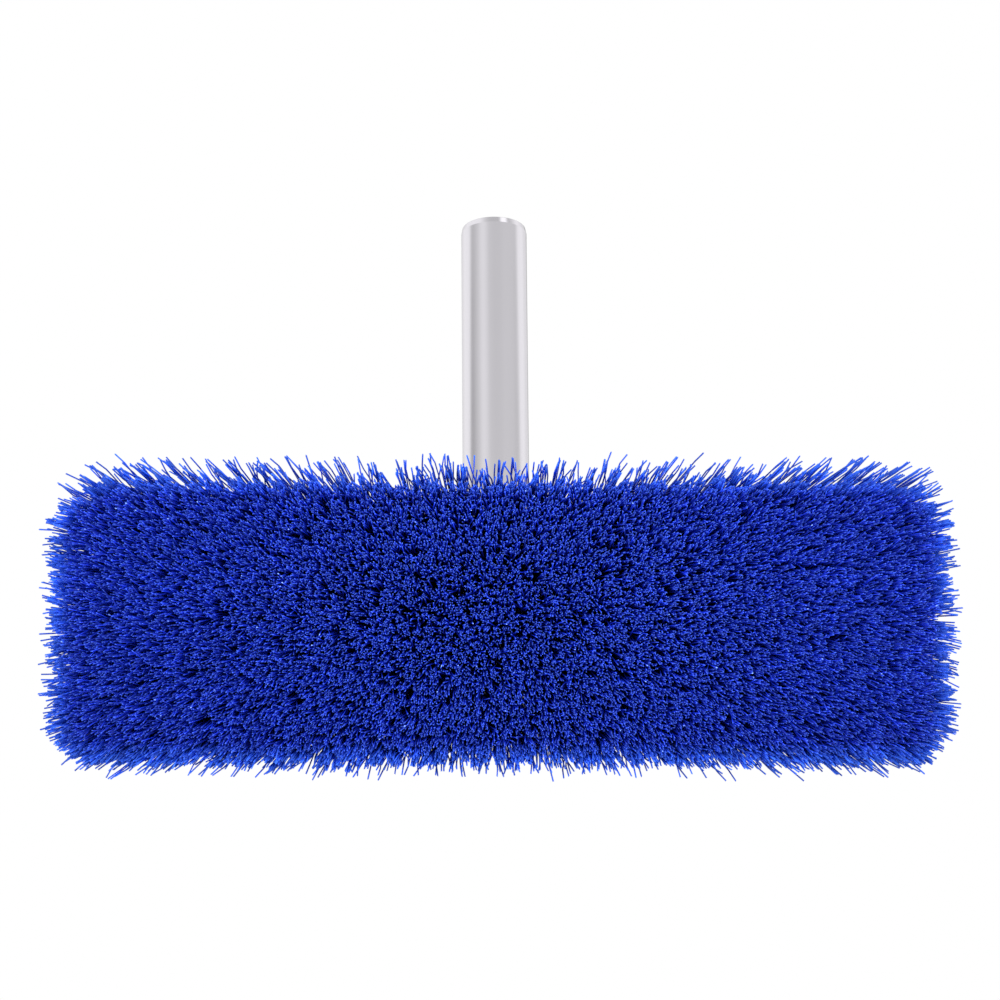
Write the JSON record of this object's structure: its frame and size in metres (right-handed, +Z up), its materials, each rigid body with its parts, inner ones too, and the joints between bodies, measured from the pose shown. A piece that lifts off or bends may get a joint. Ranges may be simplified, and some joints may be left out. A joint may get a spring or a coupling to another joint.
{
  "type": "wash brush head",
  "caption": "Wide rectangular wash brush head with flared blue bristles, a covered water chamber and an angled round handle tube.",
  "frame": {"origin": "middle of the bounding box's bottom, on the surface that the trimmed bristle tips stand on", "axes": "+X along the block, +Y towards the handle tube's open end, +Z up from the bristle tips to the cover"},
  "size_m": [0.329, 0.2068, 0.1593],
  "materials": {
    "block": "moulded white plastic, fine satin",
    "bristles": "drawn blue filament, soft gloss",
    "cover": "moulded white plastic, smooth",
    "seals": "black rubber",
    "fasteners": "stainless steel",
    "tube": "polished, clear anodised"
  },
  "bodies": {
    "root": {"bristle_block": "block", "tuft_row_1": "bristles", "tuft_row_2": "bristles", "tuft_row_3": "bristles", "tuft_row_4": "bristles", "tuft_row_5": "bristles", "back_cover": "cover", "cover_gasket": "seals", "cover_screw_01": "fasteners", "cover_screw_02": "fasteners", "cover_screw_03": "fasteners", "cover_screw_04": "fasteners", "cover_screw_05": "fasteners", "cover_screw_06": "fasteners", "cover_screw_07": "fasteners", "cover_screw_08": "fasteners", "cover_screw_09": "fasteners", "cover_screw_10": "fasteners", "handle_tube": "tube", "socket_o_ring_1": "seals", "socket_o_ring_2": "seals", "tube_screw": "fasteners"}
  },
  "joints": []
}
